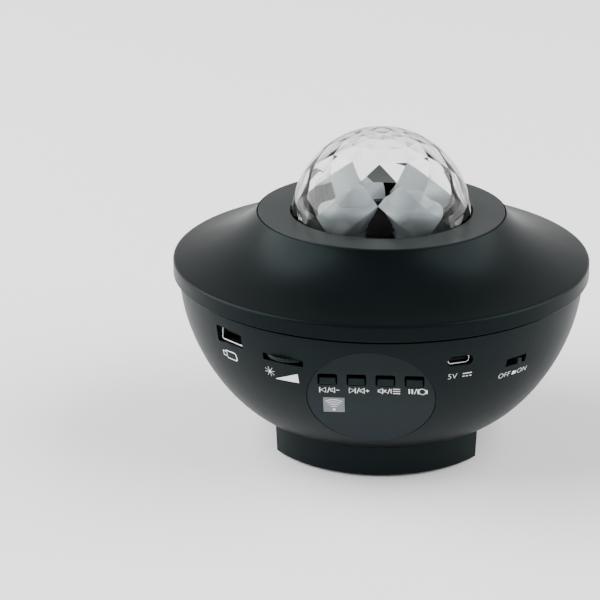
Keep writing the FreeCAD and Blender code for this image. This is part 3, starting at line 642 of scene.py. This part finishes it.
def make_marks():
    previous = [bar(-3.7, -1.2, -3.3, 1.2), triangle((-3.1, 0), -1.3, 1.15)] + slash(-0.3)
    previous += speaker(0.4) + [bar(2.5, -0.17, 3.6, 0.17)]
    printed("mark_previous", previous, on_panel(-15.85, 3.6, size=KEY_MARK_SIZE))
    following = [triangle((-1.7, 0), -3.5, 1.15), bar(-1.5, -1.2, -1.1, 1.2)] + slash(-0.3)
    following += speaker(0.4) + [bar(2.5, -0.17, 3.7, 0.17), bar(2.93, -0.6, 3.27, 0.6)]
    printed("mark_next", following, on_panel(-4.6, 3.65, size=KEY_MARK_SIZE))
    mute = speaker(-3.9)
    mute += [ribbon([(-2.1, -y), (-1.0, y)], 0.3) for y in (0.6, -0.6)]
    mute += slash(-0.1) + [bar(0.6, -1.0, 0.9, 1.0)]
    mute += [bar(1.4, y - 0.17, 4.0, y + 0.17) for y in (-1.0, 0.0, 1.0)]
    printed("mark_mute", mute, on_panel(6.85, 3.8, size=KEY_MARK_SIZE))
    play = [bar(-3.4, -1.1, -2.9, 1.1), bar(-2.3, -1.1, -1.8, 1.1)] + slash(-0.9)
    play += [ribbon(circle(1.6, 0, 1.25, 40), 0.3, True), ribbon([(0.1, -1.1), (0.1, 1.1)], 0.5),
             ribbon([(3.2, -0.9), (3.2, 0.9)], 0.5)]
    printed("mark_play", play, on_panel(17.8, 4.0, size=KEY_MARK_SIZE))
    waves = [ribbon(circle(0, -2.3, r, 16, 52, 128), PEN) for r in (1.6, 2.8, 4.0, 5.2)]
    waves.append(ribbon(circle(0, -2.6, 0.3, 12), 0.55, True))
    printed("mark_waves", waves, on_panel(-14.3, -4.9, -0.2 * MM + PRINT_LIFT))

    stick = [ribbon([(-1.7, -1.75), (3.4, -1.75), (4.0, -1.2), (4.0, 1.2), (3.4, 1.75),
                     (-1.7, 1.75)], 0.46, True),
             ribbon([(-1.9, 1.0), (-3.9, 1.0), (-3.9, -1.0), (-1.9, -1.0)], 0.46)]
    printed("mark_stick", stick, on_bowl(-45.2, 53.0 * MM))
    sun = [ribbon(circle(0, 0, 0.28, 20), 0.56, True)]
    for k in range(8):
        a = math.radians(45 * k + 10)
        sun.append(ribbon([(0.5 * math.cos(a), 0.5 * math.sin(a)),
                           (2.3 * math.cos(a), 2.3 * math.sin(a))], 0.15))
    printed("mark_sun", sun, on_bowl(-30.0, 51.6 * MM))
    ramp = filled([(-5.2, -1.55), (4.9, -1.35), (4.9, 3.0), (-5.2, -1.35)], 24)
    printed("mark_ramp", [ramp], on_bowl(-24.5, 50.2 * MM))
    supply = [words("5V", 3.6)]
    supply = [(supply[0][0] + [-2.6, 0], supply[0][1])]
    supply += [bar(1.6, 0.55, 5.4, 0.95, 6)] + [bar(x, -0.75, x + 0.9, -0.35) for x in (1.6, 3.05, 4.5)]
    printed("mark_supply", supply, on_bowl(25.0, 53.4 * MM))
    off, on = words("OFF", 3.5), words("ON", 3.5)
    switch = [(off[0] + [-5.0, 0], off[1]), (on[0] + [4.3, 0], on[1]), bar(-1.0, -0.8, 1.0, 0.8, 2)]
    printed("mark_switch", switch, on_bowl(44.6, 49.0 * MM))


make_top_shell()
make_bezel()
make_dome()
make_lamps()
make_laser_cap()
make_keys()
make_wheel()
make_marks()


# ---------------------------------------------------------------- floor, light, camera
def make_floor():
    """A plain pale floor."""
    f = Finish("pale floor")
    soft = f.noise(3.0, 2.0)
    paint = f.done(Base_Color=f.between((0.90, 0.90, 0.90), (0.92, 0.92, 0.92), soft), Roughness=0.9)
    size = 6.0
    mesh = bpy.data.meshes.new("floor")
    mesh.from_pydata([(-size, -size, 0), (size, -size, 0), (size, size, 0), (-size, size, 0)],
                     [], [(0, 1, 2, 3)])
    mesh.materials.append(paint)
    floor = bpy.data.objects.new("floor", mesh)
    bpy.context.scene.collection.objects.link(floor)


def soft_light(name, place, power):
    """A soft square studio panel that faces the object."""
    light = bpy.data.lights.new(name, "AREA")
    light.shape = "RECTANGLE"
    light.size = light.size_y = LIGHT_SIZE
    light.energy = power
    made = bpy.data.objects.new(name, light)
    made.location = place
    direction = np.array((0, 0, 0.08)) - np.array(place)
    flat = math.hypot(direction[0], direction[1])
    made.rotation_euler = (math.atan2(flat, -direction[2]), 0, math.atan2(-direction[0], direction[1]))
    bpy.context.scene.collection.objects.link(made)


def make_studio():
    """Dark overhead, bright towards the horizon and dimmer in front of the object than behind
    it, with one large soft panel at each side."""
    world = bpy.data.worlds.new("white studio")
    world.use_nodes = True
    nodes, links = world.node_tree.nodes, world.node_tree.links
    way = nodes.new("ShaderNodeTexCoord")
    parts = nodes.new("ShaderNodeSeparateXYZ")
    ramp = nodes.new("ShaderNodeValToRGB")
    links.new(way.outputs["Generated"], parts.inputs[0])
    links.new(parts.outputs[2], ramp.inputs[0])
    stops = [(0.0, 1.0), (0.42, 0.9), (0.62, 0.35), (0.80, 0.08), (1.0, 0.05)]
    while len(ramp.color_ramp.elements) < len(stops):
        ramp.color_ramp.elements.new(0.5)
    for element, (at, grey) in zip(ramp.color_ramp.elements, stops):
        element.position = at
        element.color = (grey, grey, grey, 1)
    back = nodes["Background"]
    front = nodes.new("ShaderNodeMapRange")
    links.new(parts.outputs[1], front.inputs[0])
    for k, value in enumerate((-0.5, 0.4, 0.3, 1.0)):
        front.inputs[k + 1].default_value = value
    links.new(ramp.outputs[0], back.inputs["Color"])
    dim = nodes.new("ShaderNodeMath")
    dim.operation = "MULTIPLY"
    dim.inputs[1].default_value = WORLD_LIGHT
    links.new(front.outputs[0], dim.inputs[0])
    links.new(dim.outputs[0], back.inputs["Strength"])
    bpy.context.scene.world = world
    soft_light("left panel", (-2.0, 0.0, 1.4), 190.0)
    soft_light("right panel", (2.0, 0.0, 1.4), 135.0)


def make_camera():
    """The photograph's viewpoint, about a metre off and twenty degrees down."""
    lens = bpy.data.cameras.new("camera")
    lens.lens = 158.6
    lens.sensor_width = 36.0
    camera = bpy.data.objects.new("camera", lens)
    camera.location = (0.04439, -0.99954, 0.42545)
    camera.rotation_euler = (math.radians(90 - 20.23), 0, math.radians(4.4))
    bpy.context.scene.collection.objects.link(camera)
    bpy.context.scene.camera = camera


make_floor()
make_studio()
make_camera()
